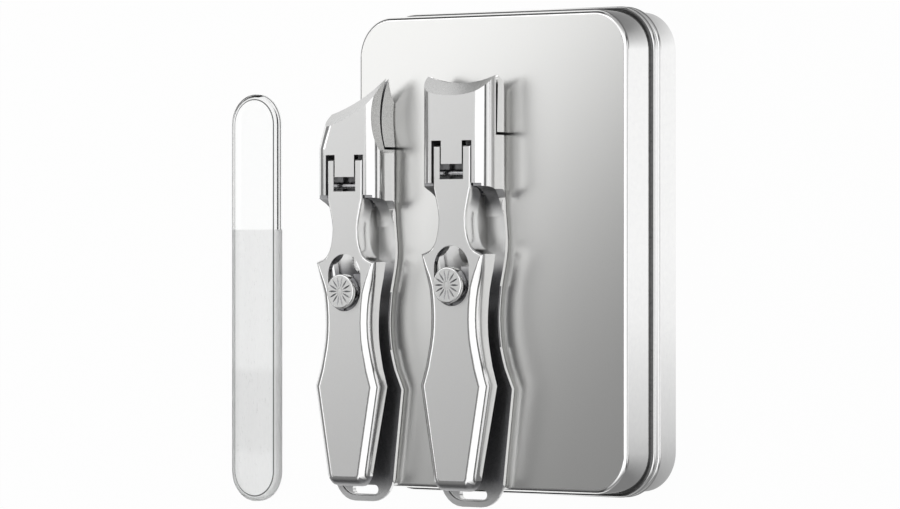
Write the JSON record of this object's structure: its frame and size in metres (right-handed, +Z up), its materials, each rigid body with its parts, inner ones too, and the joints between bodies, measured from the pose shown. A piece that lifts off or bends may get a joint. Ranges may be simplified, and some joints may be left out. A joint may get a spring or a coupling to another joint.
{
  "type": "manicure set case",
  "caption": "Hinged metal tin case with foam tray, lever nail clippers with locking knobs lying on its lid, and a glass nail file beside it.",
  "frame": {"origin": "middle of the tin's underside, on the surface it stands on", "axes": "+Z up out of the lid, +Y towards the clippers' jaws, +X away from the lid's hinge"},
  "size_m": [0.1211, 0.1061, 0.0272],
  "materials": {
    "tin": "satin lid face, polished walls and beads",
    "clipper_steel": "satin faces with polished edges",
    "knob_steel": "polished, with cut petals",
    "pins": "polished",
    "foam": "matte closed-cell foam",
    "glass": "clear handle, etched file face"
  },
  "bodies": {
    "case": {"case_base": "tin", "lid_hinge_pin": "pins", "foam_tray": "foam"},
    "lid": {"case_lid": "tin"},
    "file": {"glass_file": "glass"},
    "wide_clipper": {"wide_frame": "clipper_steel", "wide_jaw_spring": "pins", "wide_lever_pin": "pins", "wide_jaw_pin": "pins"},
    "wide_moving_jaw": {"wide_jaw": "clipper_steel"},
    "wide_squeeze_lever": {"wide_lever": "clipper_steel", "wide_draw_pin": "pins"},
    "wide_lock": {"wide_lock_stud": "pins", "wide_lock_hook": "pins", "wide_lock_knob": "knob_steel"},
    "slant_clipper": {"slant_frame": "clipper_steel", "slant_jaw_spring": "pins", "slant_lever_pin": "pins", "slant_jaw_pin": "pins"},
    "slant_moving_jaw": {"slant_jaw": "clipper_steel"},
    "slant_squeeze_lever": {"slant_lever": "clipper_steel", "slant_draw_pin": "pins"},
    "slant_lock": {"slant_lock_stud": "pins", "slant_lock_hook": "pins", "slant_lock_knob": "knob_steel"}
  },
  "joints": [
    {"name": "lid_hinge", "type": "hinge", "parent": "case", "child": "lid", "pos_m": [-0.038, 0, 0.00707], "axis": [0, -1, 0], "range_deg": [0, 94]},
    {"name": "file_lift", "type": "slide", "parent": "case", "child": "file", "axis": [0, 0, 1], "range_m": [0, 0.04]},
    {"name": "wide_lift", "type": "slide", "parent": "lid", "child": "wide_clipper", "axis": [0, 0, 1], "range_m": [0, 0.06]},
    {"name": "wide_squeeze", "type": "hinge", "parent": "wide_clipper", "child": "wide_squeeze_lever", "pos_m": [-0.0035, 0.0165, 0.02273], "axis": [1, 0, 0], "range_deg": [0, 3.3], "stiffness_Nm_per_rad": 1, "springref_deg": -2.86},
    {"name": "wide_jaw_close", "type": "hinge", "parent": "wide_clipper", "child": "wide_moving_jaw", "pos_m": [-0.0035, 0.0126, 0.01963], "axis": [1, 0, 0], "range_deg": [0, 1.66], "deforming": ["wide_jaw_spring"]},
    {"name": "wide_lock_slide", "type": "slide", "parent": "wide_clipper", "child": "wide_lock", "axis": [0, 1, 0], "range_m": [0, 0.003]},
    {"name": "slant_lift", "type": "slide", "parent": "lid", "child": "slant_clipper", "axis": [0, 0, 1], "range_m": [0, 0.06]},
    {"name": "slant_squeeze", "type": "hinge", "parent": "slant_clipper", "child": "slant_squeeze_lever", "pos_m": [-0.0328, 0.01412, 0.0225], "axis": [1, 0, 0], "range_deg": [0, 3.3], "stiffness_Nm_per_rad": 1, "springref_deg": -2.86},
    {"name": "slant_jaw_close", "type": "hinge", "parent": "slant_clipper", "child": "slant_moving_jaw", "pos_m": [-0.0328, 0.01037, 0.01953], "axis": [1, 0, 0], "range_deg": [0, 1.66], "deforming": ["slant_jaw_spring"]},
    {"name": "slant_lock_slide", "type": "slide", "parent": "slant_clipper", "child": "slant_lock", "axis": [0, 1, 0], "range_m": [0, 0.00288]}
  ],
  "couplings": [
    {"joint": "wide_jaw_close", "follows": "wide_squeeze", "ratio": 0.50022},
    {"joint": "slant_jaw_close", "follows": "slant_squeeze", "ratio": 0.50022}
  ]
}
